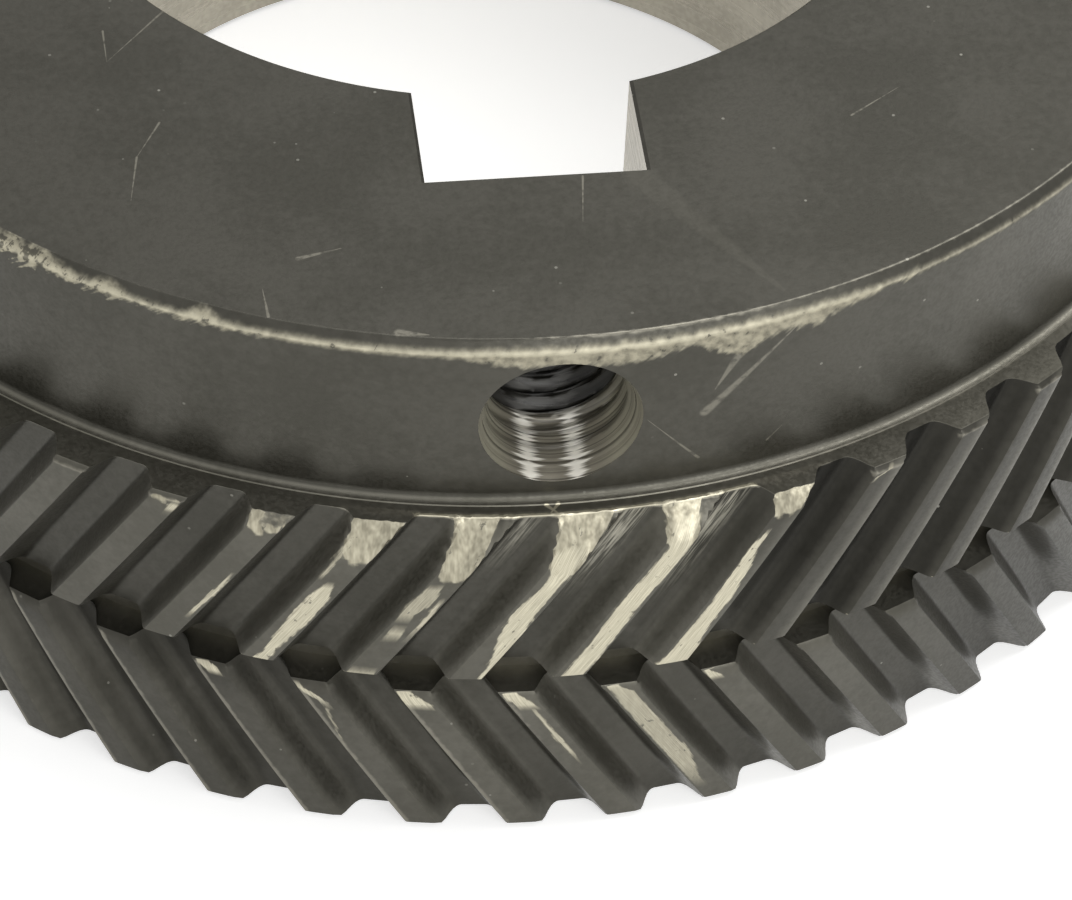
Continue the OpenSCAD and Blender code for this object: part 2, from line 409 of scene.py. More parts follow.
def cutHole(piece, cutter):
    # takes the cutter's shape out of the piece, and deletes the cutter
    cut = piece.modifiers.new("tappedHole", "BOOLEAN")
    cut.operation = "DIFFERENCE"
    cut.object = cutter
    cut.solver = "EXACT"
    evaluated = piece.evaluated_get(bpy.context.evaluated_depsgraph_get())
    mesh = bpy.data.meshes.new_from_object(evaluated)
    old, cutterMesh = piece.data, cutter.data
    piece.modifiers.clear()
    piece.data = mesh
    bpy.data.meshes.remove(old)
    mesh.name = piece.name
    bpy.data.objects.remove(cutter)
    bpy.data.meshes.remove(cutterMesh)


def toothPlace(angle, z):
    # which row a point is in, its distance from the slot, its place in pitches,
    # its tooth and its place across that tooth
    inUpper = z > rowWidth + sizes["slotWidth"] / 2
    along = np.where(inUpper, z - upperStart, rowWidth - z)
    phase = (angle - toothTurn - along * twistPerMm) / toothStep - np.where(inUpper, 0, 0.5)
    tooth = np.round(phase)
    across = (phase - tooth) * toothStep * tipRadius
    return inUpper, along, phase, tooth, across


def cutDepth(radius, angle, z):
    # how much of a worn tooth end is gone, in millimetres
    inUpper, along, phase, tooth, across = toothPlace(angle, z)
    endCap = np.clip(along - rowWidth + sizes["rimBevel"], 0, 1)
    gone = np.minimum(toothRadius(phase), tipRadius - endCap) - radius
    onRim = (radius > rootRadius - 0.1) & (z < rimHeight + 0.05) & inUpper
    onEnd = (z > rimHeight - 0.02) & (gone < 1.2)
    for number, _, length, inside, rightEnd in wornEnds:
        dull = (1 - inside) * smoothStep(0.15, 0.35, gone) * smoothStep(-0.9, -0.5, across)
        nearEnd = smoothStep(rowWidth - 0.8 * length, rowWidth - 0.1 * length, along)
        limit = 1.3 + (rightEnd - 1.3) * nearEnd
        dull = np.maximum(dull, smoothStep(limit - 0.1, limit + 0.45, across))
        gone = np.where(tooth == number, gone * (1 - dull), gone)
    return np.where(onRim & ~onEnd, np.clip(gone, 0, 1), 0)


def stripEdges(radius, angle, z, layer):
    # the two edges of the bare strip on a tooth at each point's height, and how bare it is there
    inUpper, along, _, tooth, across = toothPlace(angle, z)
    edges = np.zeros((len(z), 3))
    nearest = np.full(len(z), np.inf)
    onTooth = (radius > rootRadius + 0.3) & (np.abs(across) < 2.6) & (z < rimHeight + 0.1) & (along > 0.06)
    for row, number, stripLayer, amount, stations in tipStrips:
        if stripLayer != layer:
            continue
        height, left, right = np.array(stations, float).T
        outside = np.maximum(np.maximum(height[0] - along, along - height[-1]), 0)
        chosen = (tooth == number) & (inUpper == (row == "upper")) & onTooth & (outside < nearest)
        strip = np.stack([np.interp(along, height, left), np.interp(along, height, right),
                          amount * nearLine(outside, 0.35)], -1)
        edges[chosen] = strip[chosen]
        nearest[chosen] = outside[chosen]
    return edges


def bevelBand(radius, angle, z):
    # the bare band on the hub's bevel and the wall under it: upper edge, lower edge and how bare
    up, low = bevelReach(angle)[:2]
    onHub = (radius > hubRadius - 0.9) & (radius < hubRadius + 0.1) & (z > rimHeight + 6)
    return np.stack([-up, low, onHub * 1.0], -1)


def rubbedEdgesAndHighlights(radius, angle, z):
    # thin rubbed lines: both edges of the bevel, the foot of the hub, the edges and ends of the tips; the
    # foot's line is partly a painted highlight of its fillet, and the line along the lower tips' left edges
    # is a painted highlight
    inUpper, along, _, _, across = toothPlace(angle, z)
    degrees = np.degrees(angle)
    leftSide = smoothStep(4, -6, degrees) * smoothStep(-60, -40, degrees)
    rightSide = smoothStep(6, 20, degrees)
    topLine = nearLine(radius - hubRadius + sizes["hubBevel"], 0.25) * (z > totalHeight - 0.3)
    wallLine = nearLine(z - bevelFoot, 0.25) * (radius > hubRadius - 0.3) * (z > rimHeight + 8)
    # the hub's foot: a worn edge with a painted highlight of its fillet
    foot = hubRadius + sizes["hubFillet"] + 0.05
    footLineAndHighlight = nearLine(radius - foot, 0.25) * nearLine(z - rimHeight, 0.3)
    halfTip = sizes["tipWidth"] / 2
    onTip = smoothStep(0.35, 0.1, tipRadius - radius)
    tipLine = onTip * nearLine(np.abs(across) - halfTip, 0.3)
    # a painted highlight along the left edges of the lower tips, left of the keyway
    lowerEdgeHighlight = onTip * nearLine(across + halfTip - 0.15, 0.5) * leftSide * ~inUpper
    endLine = nearLine(along - rowWidth + sizes["rimBevel"], 0.3) * inUpper
    endLine = endLine * (tipRadius - radius < 0.5)
    # burrs along the grooves' upper ends where the teeth are worn
    wornPart = smoothStep(-17, -12, degrees) * smoothStep(21, 16, degrees)
    burrLine = wornPart * nearLine(radius - rootRadius, 0.45) * nearLine(z - rimHeight, 0.3)
    return np.maximum.reduce([
        topLine * (1 - 0.75 * leftSide - 0.4 * rightSide), wallLine * (1 - 0.25 * rightSide),
        footLineAndHighlight * (1 - 0.3 * leftSide), 0.35 * tipLine, 1.1 * lowerEdgeHighlight, 2.2 * burrLine, 0.7 * endLine,
    ])


def finishWithPaintedLight(radius, angle, z):
    # painted light and shade on the finish: a level for each part of the teeth, blended by depth, and one
    # for the rest
    inUpper, along, _, _, across = toothPlace(angle, z)
    degrees = np.degrees(angle)
    # painted light and shade: lighter or darker right, far right and left of the keyway, faded out towards
    # the back
    front = smoothStep(80, 48, np.abs(degrees))
    right, farRight = front * smoothStep(6, 18, degrees), front * smoothStep(18, 36, degrees)
    left = front * smoothStep(-3, -25, degrees)
    sides = np.stack([np.ones_like(z), right, farRight, left])

    def tone(part):
        return np.where(inUpper, paintedToothLight["upper" + part] @ sides, paintedToothLight["lower" + part] @ sides)

    tip = smoothStep(0.5, 0.2, tipRadius - radius)
    floor = smoothStep(0.5, 0.1, np.abs(radius - rootRadius))
    # a painted highlight along the right edges of the upper tips, right of the keyway
    rightEdgeHighlight = paintedLightLevels["upperTipHighlight"] * right * smoothStep(-0.1, 1.2, across) * inUpper
    teeth = tone("Flank")
    teeth = teeth + (tone("Tip") + rightEdgeHighlight - teeth) * tip + (tone("Floor") - teeth) * floor
    # painted shade on the lower teeth near the slot, left of the keyway
    slotShade = paintedLightLevels["lowerTipSlotShade"] * left * smoothStep(5, 0.5, along)
    teeth = teeth * np.where(inUpper, 1, 1 - slotShade)
    onRim = (radius > slotRadius - 0.1) & (z < rimHeight - 0.02) & (z > 0.02)
    inSlot = (radius < rootRadius - 0.1) & (z < upperStart + 0.1) & (z > rowWidth - 0.1)
    # the slot's recess is lightened with painted light
    slot = np.where(z > rowWidth + 0.5, paintedLightLevels["slotTopLight"], paintedLightLevels["slotFloorLight"])
    # the ledge in the hub's corner is lightened with painted light
    onLedge = (radius > hubRadius) & (z > rimHeight - 0.02) & (z < rimHeight + 1)
    onWall = (radius > hubRadius - 0.1) & (z > rimHeight + 0.3) & (z < bevelFoot + 0.02)
    # the hub's wall is lighter to the right with painted light
    wall = paintedLightLevels["wall"] + paintedLightLevels["wallRightLight"] * front * smoothStep(10, 40, degrees)
    return np.select([onWall, onRim & inSlot, onRim, onLedge], [wall, slot, teeth, paintedLightLevels["ledge"]],
                     paintedLightLevels["face"])


def grooveShine(radius, angle, z):
    # rubbed floors and flanks between the worn teeth, brighter towards the end face
    inUpper, along, phase = toothPlace(angle, z)[:3]
    inGroove = inUpper & (tipRadius - radius > 0.3) & (radius > rootRadius - 0.1) & (z < rimHeight + 0.02)
    shine = np.zeros_like(radius)
    for leftPhase, rightPhase, start, amount in groovePolish:
        middle, half = (leftPhase + rightPhase) / 2, (rightPhase - leftPhase) / 2
        streak = np.clip(1.5 - np.abs(phase - middle) / half, 0, 1) * smoothStep(start, rowWidth, along)
        shine = shine + amount * streak * inGroove
    return shine


def setMasks(piece):
    # places and amounts of wear, and of painted light, shade and highlights, kept on the points for the
    # materials
    mesh = piece.data
    x, y, z = readRows(mesh.vertices, "co").T / mmToMetre
    spot = np.hypot(x, y), np.arctan2(x, -y), z
    inUpper, along, phase = toothPlace(*spot[1:])[:3]
    masks = {
        "cutDepth": cutDepth(*spot), "rubbedAndHighlit": rubbedEdgesAndHighlights(*spot), "paintedLightAndShade": finishWithPaintedLight(*spot),
        "stripFirst": stripEdges(*spot, 0), "stripSecond": stripEdges(*spot, 1),
        "bevelBand": bevelBand(*spot), "ragged": bevelReach(spot[1])[2], "shine": grooveShine(*spot),
        "toothPlace": np.stack([phase, along, inUpper * 1.0], -1),
    }
    for name, values in masks.items():
        kind, part = ("FLOAT", "value") if values.ndim == 1 else ("FLOAT_VECTOR", "vector")
        layer = mesh.attributes.new(name, kind, "POINT")
        layer.data.foreach_set(part, values.astype(np.float32).ravel())


body = makeBody()
cutHole(body, threadCutter())
body.data.polygons.foreach_set("use_smooth", np.ones(len(body.data.polygons), bool))
body.data.set_sharp_from_angle(angle=math.radians(sizes["sharpAngle"]))
setMasks(body)
cornerTotals = np.empty(len(body.data.polygons), np.int32)
body.data.polygons.foreach_get("loop_total", cornerTotals)
print("body cut:", int((cornerTotals - 2).sum()), "triangles")


class NodeValue:
    # a value in a node tree: each sum or product of it adds one maths node

    def __init__(self, tree, socket):
        self.tree, self.socket = tree, socket

    def __add__(self, other):
        return maths(self.tree, "ADD", self, other)

    def __sub__(self, other):
        return maths(self.tree, "SUBTRACT", self, other)

    def __rsub__(self, other):
        return maths(self.tree, "SUBTRACT", other, self)

    def __mul__(self, other):
        return maths(self.tree, "MULTIPLY", self, other)

    def __truediv__(self, other):
        return maths(self.tree, "DIVIDE", self, other)

    def __rtruediv__(self, other):
        return maths(self.tree, "DIVIDE", other, self)

    def __lt__(self, other):
        return maths(self.tree, "LESS_THAN", self, other)

    def __abs__(self):
        return maths(self.tree, "ABSOLUTE", self)

    def clamped(self):
        # kept between 0 and 1 by the node that made it
        self.socket.node.use_clamp = True
        return self


def setInputs(tree, node, inputs):
    # inputs by socket name or number: a node's value is linked, anything else is set
    for key, value in inputs.items():
        socket = node.inputs[key]
        if isinstance(value, NodeValue):
            tree.links.new(value.socket, socket)
        elif socket.type == "RGBA":
            socket.default_value = (*value[:3], 1)
        else:
            socket.default_value = value


def addNode(tree, kind, settings, inputs, output=0):
    # one node with its settings and inputs; gives back one of its outputs
    node = tree.nodes.new(kind)
    for key, value in settings.items():
        setattr(node, key, value)
    setInputs(tree, node, inputs)
    return NodeValue(tree, node.outputs[output])


def maths(tree, operation, a, b=0.0):
    return addNode(tree, "ShaderNodeMath", {"operation": operation}, {0: a, 1: b})


def vectorMaths(operation, a, b=(0, 0, 0)):
    output = "Value" if operation in ("DISTANCE", "DOT_PRODUCT") else "Vector"
    return addNode(a.tree, "ShaderNodeVectorMath", {"operation": operation}, {0: a, 1: b}, output)


def scaleVector(vector, factor):
    return addNode(vector.tree, "ShaderNodeVectorMath", {"operation": "SCALE"}, {0: vector, "Scale": factor})


def splitVector(vector):
    # the three parts of a vector
    first = addNode(vector.tree, "ShaderNodeSeparateXYZ", {}, {"Vector": vector})
    return [NodeValue(vector.tree, socket) for socket in first.socket.node.outputs]


def ramp(value, low, high, start=0.0, end=1.0):
    # goes smoothly from start to end while the value goes from low to high
    return addNode(value.tree, "ShaderNodeMapRange", {"interpolation_type": "SMOOTHSTEP"}, {
        "Value": value, "From Min": low, "From Max": high, "To Min": start, "To Max": end}, "Result")


def noise(place, size, detail):
    inputs = {"Vector": place, "Scale": 1 / size, "Detail": detail}
    return addNode(place.tree, "ShaderNodeTexNoise", {}, inputs, "Fac")


def mixColour(share, first, second):
    return addNode(share.tree, "ShaderNodeMix", {"data_type": "RGBA"}, {0: share, 6: first, 7: second}, 2)


def largest(values):
    total = values[0]
    for value in values[1:]:
        total = maths(total.tree, "MAXIMUM", total, value)
    return total


def swing(value, strength, middle):
    # a noise value spread about a middle
    return (value - 0.5) * strength + middle


def toward(share, first, second):
    # from the first value to the second by a share
    return first + share * (second - first)


def newGroup(name, inputs, output, outputKind="NodeSocketFloat"):
    # an empty group with named sockets; a three-part default makes a vector, a four-part one a colour
    tree = bpy.data.node_groups.new(name, "ShaderNodeTree")
    kinds = {1: "NodeSocketFloat", 3: "NodeSocketVector", 4: "NodeSocketColor"}
    for label, default in inputs.items():
        kind = kinds[len(default) if isinstance(default, tuple) else 1]
        tree.interface.new_socket(label, in_out="INPUT", socket_type=kind).default_value = default
    tree.interface.new_socket(output, in_out="OUTPUT", socket_type=outputKind)
    sockets = tree.nodes.new("NodeGroupInput").outputs
    given = {label: NodeValue(tree, sockets[label]) for label in inputs}
    return tree, given, tree.nodes.new("NodeGroupOutput")


def useGroup(tree, group, **inputs):
    return addNode(tree, "ShaderNodeGroup", {"node_tree": group}, inputs)


def speckleGroup():
    # tiny light dots: a dot at a random place in a share of the cells of a grid
    inputs = {"Place": (0, 0, 0), "Spacing": 1.0, "Dot": 0.1, "Share": 0.3}
    tree, given, out = newGroup("speckle", inputs, "Mask")
    scaled = scaleVector(given["Place"], 1.0 / given["Spacing"])
    cell = vectorMaths("FLOOR", scaled)
    chance = addNode(tree, "ShaderNodeTexWhiteNoise", {}, {"Vector": cell}, "Value")
    chanceSpot = NodeValue(tree, chance.socket.node.outputs["Color"])
    inset = vectorMaths("ADD", scaleVector(chanceSpot, 0.8), (0.1, 0.1, 0.1))
    away = vectorMaths("DISTANCE", vectorMaths("SUBTRACT", scaled, cell), inset)
    kept = (1.0 - chance / given["Share"]).clamped()
    setInputs(tree, out, {"Mask": (away < given["Dot"]) * kept})
    return tree


def stripGroup():
    # a strip between two edges, frayed by a shift of its edges: the nearer edge's distance, softened
    inputs = {"Across": 0.0, "Edges": (0, 0, 0), "Shift": 0.0, "Soft": 0.08}
    tree, given, out = newGroup("bareStrip", inputs, "Mask")
    low, high, amount = splitVector(given["Edges"])
    inside = maths(tree, "MINIMUM", given["Across"] - low, high - given["Across"])
    soft = ramp((inside + given["Shift"]) / given["Soft"], -1.0, 1.0)
    setInputs(tree, out, {"Mask": soft * amount})
    return tree


def driftGroup():
    # slow change between two colours, with a finer mottle over it
    inputs = {"Place": (0, 0, 0), "Size": 8.0, "Dark": (0, 0, 0, 1), "Light": (1, 1, 1, 1)}
    tree, given, out = newGroup("toneDrift", inputs, "Colour", "NodeSocketColor")
    scaled = scaleVector(given["Place"], 1.0 / given["Size"])
    both = noise(scaled, 1.0, 1.0) * 0.6 + noise(scaled, 0.09, 1.0) * 0.4
    setInputs(tree, out, {"Colour": mixColour(ramp(both, 0.35, 0.65), given["Dark"], given["Light"])})
    return tree


def cutMarksGroup():
    # fine tool lines: one-way noise along the given distance
    tree, given, out = newGroup("cutMarks", {"Along": 0.0, "Spacing": 0.2}, "Height")
    inputs = {"W": given["Along"] / given["Spacing"], "Scale": 1.0, "Detail": 2.0}
    lines = addNode(tree, "ShaderNodeTexNoise", {"noise_dimensions": "1D"}, inputs, "Fac")
    setInputs(tree, out, {"Height": lines})
    return tree


def scratchGroup():
    # distance from a straight line between two points, thinning towards its end
    inputs = {"Place": (0, 0, 0), "Start": (0, 0, 0), "End": (1, 0, 0), "Width": 0.1}
    tree, given, out = newGroup("scratch", inputs, "Mask")
    reach = vectorMaths("SUBTRACT", given["End"], given["Start"])
    gone = vectorMaths("SUBTRACT", given["Place"], given["Start"])
    share = (vectorMaths("DOT_PRODUCT", gone, reach) / vectorMaths("DOT_PRODUCT", reach, reach)).clamped()
    away = vectorMaths("DISTANCE", gone, scaleVector(reach, share))
    thin = given["Width"] * (1.15 - share)
    setInputs(tree, out, {"Mask": (1.0 - away / thin).clamped()})
    return tree


speckle, bareStrip, toneDrift = speckleGroup(), stripGroup(), driftGroup()
cutMarks, scratch = cutMarksGroup(), scratchGroup()

# the black finish: colours, sizes in millimetres, and shares of the colours laid over it
oxideLook = {
    "dark": (0.078, 0.0745, 0.0605), "light": (0.098, 0.0935, 0.0775), "driftSize": 9.0,
    "metallic": 0.85, "roughness": 0.4, "roughnessSpread": 0.06,
    "grainSize": 0.3, "grainStrength": 0.35, "grainHeight": 0.018,
    # the rub colour is used for rubbed lines, scratches, smears and painted highlights
    "rubAndHighlight": (0.26, 0.245, 0.2), "rubShare": 0.6, "smearShare": 0.045,
    "dust": (0.4, 0.39, 0.34), "dustShare": 0.5, "dustSpacing": 1.6, "dustDot": 0.075, "dustCells": 0.22,
}
# where the finish is gone: stretches and sizes of the noises, shifts of the edges in millimetres,
# and tones as the noise's strength and the middle
wearLook = {
    "bareDark": (0.25, 0.231, 0.172), "bareLight": (0.63, 0.59, 0.455),
    "streakStretch": (40.0, 0.35, 7.0), "fineStretch": (3.0, 1.2, 1.0), "uprightStretch": (3.0, 3.0, 0.5),
    "fraySize": 0.6, "streakShift": 0.5, "frayShift": 0.35, "stripSoft": 0.1,
    "bandShift": 1.4, "bandSoft": 0.32, "bandRoughness": 0.18, "slantSpacing": 0.55, "slantShare": 1.6,
    # the band's core is lightened as a painted highlight along the bevel's foot
    "coreWidth": 0.4, "coreCover": 0.35, "coreHighlight": 0.42, "bandCover": (1.4, 0.9), "bandTone": (1.1, 0.15),
    "endTone": (1.3, 0.22), "stripTone": (1.6, 0.58), "burrTone": 0.8, "endFray": 0.12, "rubFray": 0.9,
}
# the bare steel of the bore, the keyway and the tapped hole, painted shade deep in the hole and in its
# grooves, and two painted highlights along the hole
cutSteelLook = {
    "dark": (0.33, 0.308, 0.256), "light": (0.41, 0.384, 0.32), "driftSize": 6.0,
    "holeDark": (0.23, 0.212, 0.168), "holeSide": (0.36, 0.342, 0.265), "holeShare": 0.9,
    # the dark colour is painted shade for the hole's depth and its grooves
    "holeMetallic": 0.45, "paintedHoleShade": (0.01, 0.0095, 0.008), "deepShare": 0.96,
    "brightDepth": 4.5, "darkDepth": 7.2,
    # two painted highlights: their colour, and their edges across the hole with how strong
    "paintedHighlight": (0.98, 0.95, 0.86), "highlightStrips": [(-2.6, -1.5, 1.0), (0.9, 2.0, 1.0)],
    "roughness": 0.34, "roughnessSpread": 0.08,
    "lineSpacing": 0.25, "lineStrength": 0.4, "lineHeight": 0.03,
    "dustShare": 0.4, "dustSpacing": 2.2, "dustDot": 0.07, "dustCells": 0.3,
}
# scratches on the end face (x, y), a faint wide mark there, scratches on the hub's wall (angle, height)
# and burrs on the ledge (x, y): two ends and a half width
faceScratches = [
    (-27.2, -36.0, -29.1, -39.6, 0.1), (-29.1, -39.6, -29.8, -44.2, 0.1), (-30.8, -25.5, -30.7, -29.0, 0.1),
    (-26.1, -23.6, -30.7, -29.0, 0.1), (-18.2, -51.2, -15.0, -50.4, 0.22), (3.4, -44.3, 2.8, -49.1, 0.1),
    (24.3, -39.4, 28.5, -36.5, 0.1), (-20.8, -56.9, -21.0, -54.1, 0.14), (-11.7, -59.3, -9.6, -59.7, 0.4),
]
faceSmears = [(7.7, -44.9, 16.3, -57.3, 1.4)]
wallScratches = [(10.0, 40.5, 16.2, 47.3, 0.46), (12.0, 45.6, 10.6, 42.7, 0.4),
                 (9.8, 35.7, 5.9, 40.7, 0.14), (14.8, 35.9, 15.9, 37.1, 0.1)]
ledgeBurrs = [(-0.9, -62.3, 0.1, -63.4, 0.22), (0.0, -62.2, -0.9, -63.4, 0.2)]


def placeInMm(tree):
    return scaleVector(addNode(tree, "ShaderNodeTexCoord", {}, {}, "Object"), 1 / mmToMetre)


def newMaterial(name):
    material = bpy.data.materials.new(name)
    material.use_nodes = True
    return material, material.node_tree, material.node_tree.nodes["Principled BSDF"]


def readMask(tree, name, part="Fac"):
    return addNode(tree, "ShaderNodeAttribute", {"attribute_name": name}, {}, part)


def driftOn(place, look):
    # a look's two colours, drifting from one to the other
    return useGroup(place.tree, toneDrift, Place=place, Size=look["driftSize"], Dark=look["dark"],
                    Light=look["light"])


def dustOn(place, look):
    # dust specks in the way that a look gives, as a share of the dust's colour
    return useGroup(place.tree, speckle, Place=place, Spacing=look["dustSpacing"], Dot=look["dustDot"],
                    Share=look["dustCells"]) * look["dustShare"]


def bumpFrom(height, strength, reach):
    inputs = {"Strength": strength, "Distance": reach * mmToMetre, "Height": height}
    return addNode(height.tree, "ShaderNodeBump", {}, inputs)


def flatLines(marks, z):
    return [((x0, y0, z), (x1, y1, z), width) for x0, y0, x1, y1, width in marks]


def wallLines(marks):
    # marks on the hub's wall as straight lines between their ends
    lines = []
    for angle0, z0, angle1, z1, width in marks:
        ends = polarPoints(hubRadius, np.radians([angle0, angle1]), np.array([z0, z1]))
        lines.append((tuple(ends[0]), tuple(ends[1]), width))
    return lines


def scratchMarks(place, lines):
    # the nearest of several straight marks, with soft edges
    masks = [useGroup(place.tree, scratch, Place=place, Start=start, End=end, Width=width)
             for start, end, width in lines]
    return ramp(largest(masks), 0.0, 0.6)


def oxideMaterial():
    look, wear = oxideLook, wearLook
    material, tree, shader = newMaterial("blackOxide")
    place = placeInMm(tree)
    x, _, z = splitVector(place)
    onTooth, ragged = readMask(tree, "toothPlace", "Vector"), readMask(tree, "ragged")
    # place across a tooth in millimetres, and streaks drawn out along the teeth
    pitches = splitVector(onTooth)[0] + 100.5
    across = (maths(tree, "FRACT", pitches) - 0.5) * (toothStep * tipRadius)
    drawn = vectorMaths("MULTIPLY", onTooth, wear["streakStretch"])
    streak = noise(drawn, 1.0, 2.0)
    fine = noise(vectorMaths("MULTIPLY", drawn, wear["fineStretch"]), 1.0, 1.0)
    upright = noise(vectorMaths("MULTIPLY", place, wear["uprightStretch"]), 1.0, 1.0)
    fray = noise(place, wear["fraySize"], 3.0)
    grain = noise(place, look["grainSize"], 1.0)
    streakShift, frayShift = (streak - 0.5) * wear["streakShift"], fray - 0.5
    # bare strips on the tips
    shift = streakShift + frayShift * wear["frayShift"]
    strips = largest([useGroup(tree, bareStrip, Across=across, Edges=readMask(tree, name, "Vector"),
                               Shift=shift, Soft=wear["stripSoft"])
                      for name in ("stripFirst", "stripSecond")])
    # bare band on the bevel, torn along slanting lines, with a core along the bevel's foot
    drop = bevelFoot - z
    slantLines = useGroup(tree, cutMarks, Along=(x - z) * 0.7, Spacing=wear["slantSpacing"]) - 0.5
    bandShift = (frayShift + slantLines * wear["slantShare"]) * wear["bandShift"] * ragged
    bandShift = bandShift * ramp(drop, -0.05, 0.3, 0.25, 1.0)
    band = useGroup(tree, bareStrip, Across=drop, Edges=readMask(tree, "bevelBand", "Vector"),
                    Shift=bandShift, Soft=wear["bandSoft"])
    core = ramp(abs(drop), wear["coreWidth"], 0.0)
    bandCover = band * (core * wear["coreCover"] + swing(fray, *wear["bandCover"])).clamped()
    # worn ends, and flecks of finish left on all that is bare
    worn = ramp(readMask(tree, "cutDepth") + frayShift * wear["endFray"], 0.03, 0.1)
    torn = (ragged - 0.4).clamped() * -0.16 * band + streakShift * 0.8
    flecks = ramp(fray + torn, 0.26, 0.33, 0.25, 1.0)
    bare = largest([strips, bandCover, worn]) * flecks
    rubbedAndHighlit = readMask(tree, "rubbedAndHighlit") + frayShift * wear["rubFray"]
    burrs = largest([scratchMarks(place, flatLines(ledgeBurrs, rimHeight)), ramp(rubbedAndHighlit, 0.95, 1.4)])
    bare = largest([bare, burrs])
    # worn ends are streaked upright, strips along the tooth, and the band is mottled, with a painted
    # highlight along its core
    endTone, stripTone = swing(upright, *wear["endTone"]), swing(fine, *wear["stripTone"])
    bandTone = core * wear["coreHighlight"] + swing(fray, *wear["bandTone"])
    bareShare = toward(band, toward(strips, endTone, stripTone), bandTone)
    bareShare = largest([bareShare, burrs * wear["burrTone"]]).clamped()
    bareTone = mixColour(bareShare, wear["bareDark"], wear["bareLight"])
    # the finish itself, with painted light and shade by place, and streaks where it is rubbed
    tone = driftOn(place, look)
    shine = readMask(tree, "shine") * ramp(streak, 0.4, 0.62, 0.1, 2.0)
    colour = scaleVector(tone, readMask(tree, "paintedLightAndShade") + shine)
    colour = mixColour(dustOn(place, look), colour, look["dust"])
    lines = flatLines(faceScratches, totalHeight) + wallLines(wallScratches)
    marks = scratchMarks(place, lines) * ramp(fray, 0.3, 0.55, 0.1, 0.5)
    smears = scratchMarks(place, flatLines(faceSmears, totalHeight)) * look["smearShare"]
    # rubbed lines with their painted highlights
    rubAndHighlight = ramp(rubbedAndHighlit, 0.3, 0.9) * look["rubShare"]
    colour = mixColour(largest([rubAndHighlight, marks, smears]), colour, look["rubAndHighlight"])
    spread = look["roughnessSpread"]
    matt = ramp(grain, 0.3, 0.7, look["roughness"] - spread, look["roughness"] + spread)
    setInputs(tree, shader, {
        "Base Color": mixColour(bare, colour, bareTone), "Metallic": look["metallic"],
        "Roughness": matt + bandCover * wear["bandRoughness"],
        "Normal": bumpFrom(grain, look["grainStrength"], look["grainHeight"])})
    return material


def cutSteelMaterial():
    look = cutSteelLook
    material, tree, shader = newMaterial("cutSteel")
    place = placeInMm(tree)
    x, y, z = splitVector(place)
    # tool lines run round the bore and round the tapped hole
    inHole = y < -keyFloor
    lines = useGroup(tree, cutMarks, Along=toward(inHole, z, y), Spacing=look["lineSpacing"])
    tone = driftOn(place, look)
    colour = mixColour(dustOn(place, look), tone, oxideLook["dust"])
    # the tapped hole: duller than the bore, darker in its middle than at its sides, with painted shade in
    # its grooves and two painted highlights along its lower side
    aside = ramp(abs(x), 2.8, 4.8)
    holeTone = mixColour(aside, look["holeDark"], look["holeSide"])
    colour = mixColour(inHole * look["holeShare"], colour, holeTone)
    # painted shade in the thread's grooves
    colour = mixColour(ramp(lines, 0.52, 0.36, 0.0, 0.5) * inHole, colour, look["paintedHoleShade"])
    shift = (lines - 0.5) * 2.4
    # two painted highlights along the hole
    paintedHighlight = largest([useGroup(tree, bareStrip, Across=x, Edges=edges, Shift=shift, Soft=0.35)
                        for edges in look["highlightStrips"]])
    lowSide = ramp(z, screwHeight - 1.0, screwHeight - 3.0)
    colour = mixColour(paintedHighlight * lowSide * inHole, colour, look["paintedHighlight"])
    # painted shade where it is deep
    paintedHoleShade = ramp(y + hubRadius, look["brightDepth"], look["darkDepth"]) * inHole
    colour = mixColour(paintedHoleShade * look["deepShare"], colour, look["paintedHoleShade"])
    spread = look["roughnessSpread"]
    setInputs(tree, shader, {
        "Base Color": colour, "Metallic": ramp(inHole, 0.0, 1.0, 1.0, look["holeMetallic"]),
        "Roughness": ramp(lines, 0.25, 0.75, look["roughness"] - spread, look["roughness"] + spread),
        "Normal": bumpFrom(lines, look["lineStrength"], look["lineHeight"])})
    return material


def assignFinishes(piece):
    # the bore, the keyway and the tapped hole are bare cut steel
    mesh = piece.data
    mesh.materials.clear()
    mesh.materials.append(oxideMaterial())
    mesh.materials.append(cutSteelMaterial())
    x, y, z = readRows(mesh.polygons, "center").T / mmToMetre
    radius = np.hypot(x, y)
    upright = np.abs(readRows(mesh.polygons, "normal")[:, 2]) < 0.5
    slack = 0.05
    inKeyway = (np.abs(x) < sizes["keyHalf"] + slack) & (y < 0) & (y > -keyFloor - slack)
    inBore = (radius < sizes["boreRadius"] + slack) | inKeyway
    inHole = np.hypot(x, z - screwHeight) < tappedHole["mouthRadius"]
    inHole = inHole & (y < -keyFloor + 0.1) & (radius < hubRadius - 0.01)
    mesh.polygons.foreach_set("material_index", ((inBore & upright) | inHole).astype(np.int32))
    mesh.update()


assignFinishes(body)
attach(body, "root")
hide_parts("sprocket")
print("materials made")

# floor and light, in metres and watts; a light has a place, a size and a power
studio = {
    "floorSize": 3.0, "floorGap": 0.0002, "floorColour": (0.8, 0.8, 0.79), "floorRoughness": 0.8,
    "floorGlow": 0.55, "ambient": 0.55, "lightTarget": (0, 0, 0.03),
    "lights": {"overhead": ((0.3, 0.15, 0.75), 0.6, 4), "front": ((0.25, -0.7, 0.45), 0.5, 2.5)},
}
white = (1, 1, 1)


def seenDirectly(tree):
    # 1 for a ray from the camera, also after a mirror or through clear stuff
    rays = tree.nodes.new("ShaderNodeLightPath").outputs
    names = ("Is Camera Ray", "Is Glossy Ray", "Is Transmission Ray")
    return largest([NodeValue(tree, rays[name]) for name in names])


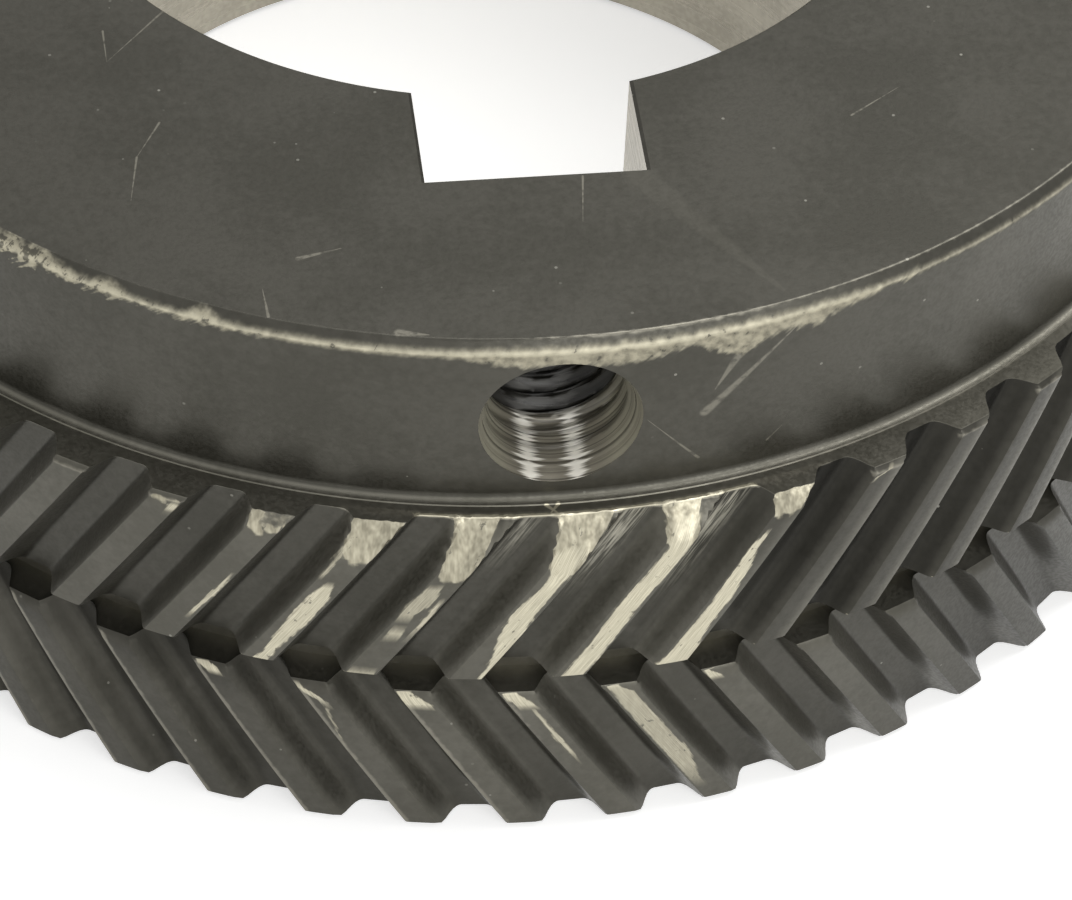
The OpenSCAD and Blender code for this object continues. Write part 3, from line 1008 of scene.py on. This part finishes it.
def makeFloor():
    half, low = studio["floorSize"] / 2, -studio["floorGap"]
    corners = [(-half, -half, low), (half, -half, low), (half, half, low), (-half, half, low)]
    mesh = bpy.data.meshes.new("floor")
    mesh.from_pydata(corners, [], [(0, 1, 2, 3)])
    floor = addObject("floor", mesh)
    material, tree, shader = newMaterial("paleFloor")
    backFace = addNode(tree, "ShaderNodeNewGeometry", {}, {}, "Backfacing")  # clear when seen from below
    setInputs(tree, shader, {
        "Base Color": studio["floorColour"], "Roughness": studio["floorRoughness"], "Alpha": 1.0 - backFace,
        "Emission Color": white, "Emission Strength": seenDirectly(tree) * studio["floorGlow"]})
    mesh.materials.append(material)


def makeWorld():
    world = bpy.data.worlds.new("studio")
    bpy.context.scene.world = world
    world.use_nodes = True
    tree = world.node_tree
    level = seenDirectly(tree) * (1 - studio["ambient"]) + studio["ambient"]  # white where it is seen
    setInputs(tree, tree.nodes["Background"], {"Color": white, "Strength": level})


def areaLight(name, place, size, power):
    light = bpy.data.lights.new(name, "AREA")
    light.size = size
    light.energy = power
    lamp = addObject(name, light)
    back = (Vector(place) - Vector(studio["lightTarget"])).normalized()
    lamp.matrix_world = Matrix.Translation(place) @ back.to_track_quat("Z", "Y").to_matrix().to_4x4()


makeFloor()
makeWorld()
for name, (place, size, power) in studio["lights"].items():
    areaLight(name, place, size, power)
print("floor and light made")

# camera: place in millimetres, angles in degrees, focal length for a 36 mm wide frame
photoView = {"azimuth": -7.487, "away": 293.99, "height": 285.25, "aim": 1.542, "down": 46.652,
             "roll": -2.957, "lens": 156.79, "frameWidth": 36, "nearest": 10}


def makeCamera():
    data = bpy.data.cameras.new("photoCamera")
    data.sensor_fit = "HORIZONTAL"
    data.sensor_width = photoView["frameWidth"]
    data.lens = photoView["lens"]
    data.clip_start = photoView["nearest"] * mmToMetre
    camera = addObject("photoCamera", data)
    side = math.radians(photoView["azimuth"])
    away = photoView["away"]
    spot = Vector((away * math.sin(side), -away * math.cos(side), photoView["height"]))
    turn = Matrix.Rotation(side - math.radians(photoView["aim"]), 4, "Z")
    tilt = Matrix.Rotation(math.radians(90 - photoView["down"]), 4, "X")
    lean = Matrix.Rotation(-math.radians(photoView["roll"]), 4, "Z")
    camera.matrix_world = Matrix.Translation(spot * mmToMetre) @ turn @ tilt @ lean
    bpy.context.scene.camera = camera


makeCamera()
bpy.context.scene.view_settings.view_transform = "Standard"
print("camera set")
